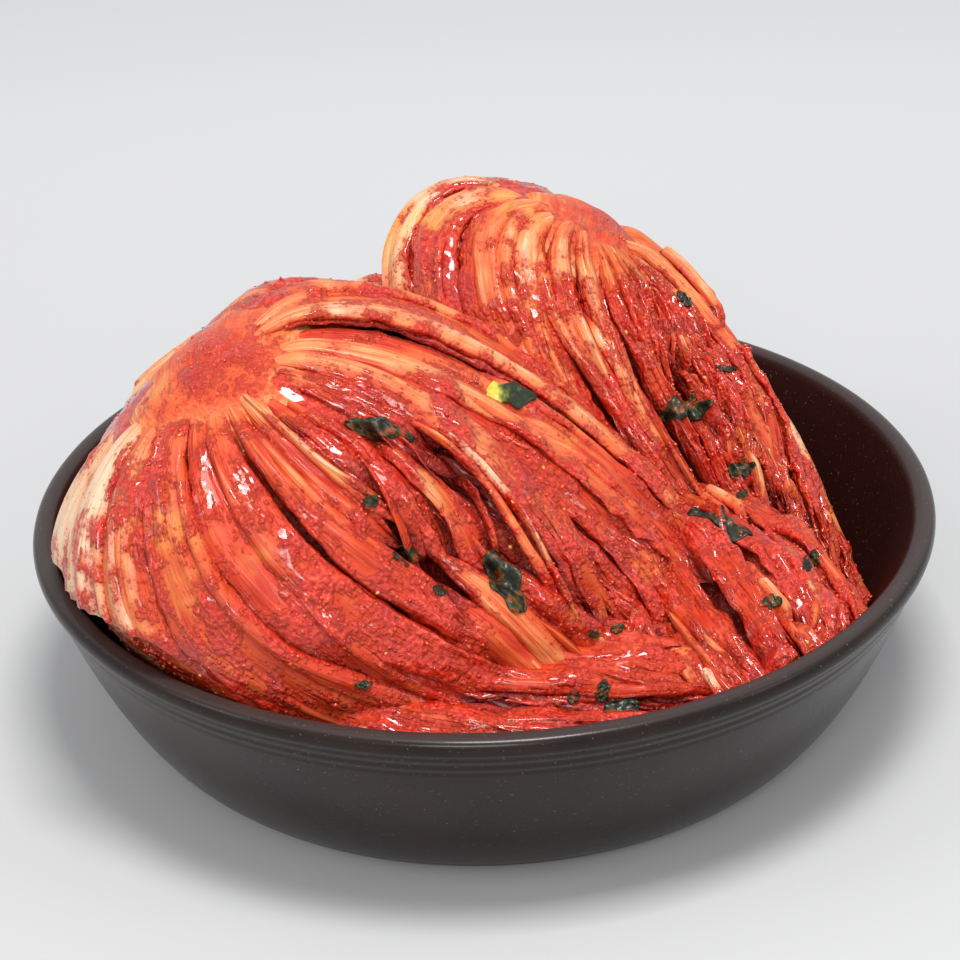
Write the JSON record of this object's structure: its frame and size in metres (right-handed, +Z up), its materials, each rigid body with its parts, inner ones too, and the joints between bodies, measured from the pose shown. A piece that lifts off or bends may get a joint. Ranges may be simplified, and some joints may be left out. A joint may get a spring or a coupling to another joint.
{
  "type": "bowl of kimchi",
  "caption": "Whole salted cabbages coated in red chilli paste, heaped over each other in a low round glazed earthenware basin with a flat rim",
  "frame": {"origin": "middle of the bowl's underside, on the surface it stands on", "axes": "+Z up along the bowl's axis; the picture is taken along +Y, with +X to its right"},
  "size_m": [0.36, 0.36, 0.1878],
  "materials": {
    "glaze": "dark brown-black glossy glaze",
    "cabbage": "pale stalks under wet red chilli paste",
    "green_leaf": "dark green leaf, wet"
  },
  "bodies": {
    "root": {"bowl": "glaze", "front_cabbage": "cabbage", "back_cabbage": "cabbage", "rear_left_cabbage": "cabbage", "green_onion_end": "green_leaf", "green_strip": "green_leaf", "mustard_leaf": "green_leaf", "dark_leaf": "green_leaf", "tip_leaf": "green_leaf", "pale_leaf": "green_leaf", "small_leaf": "green_leaf"}
  },
  "joints": []
}
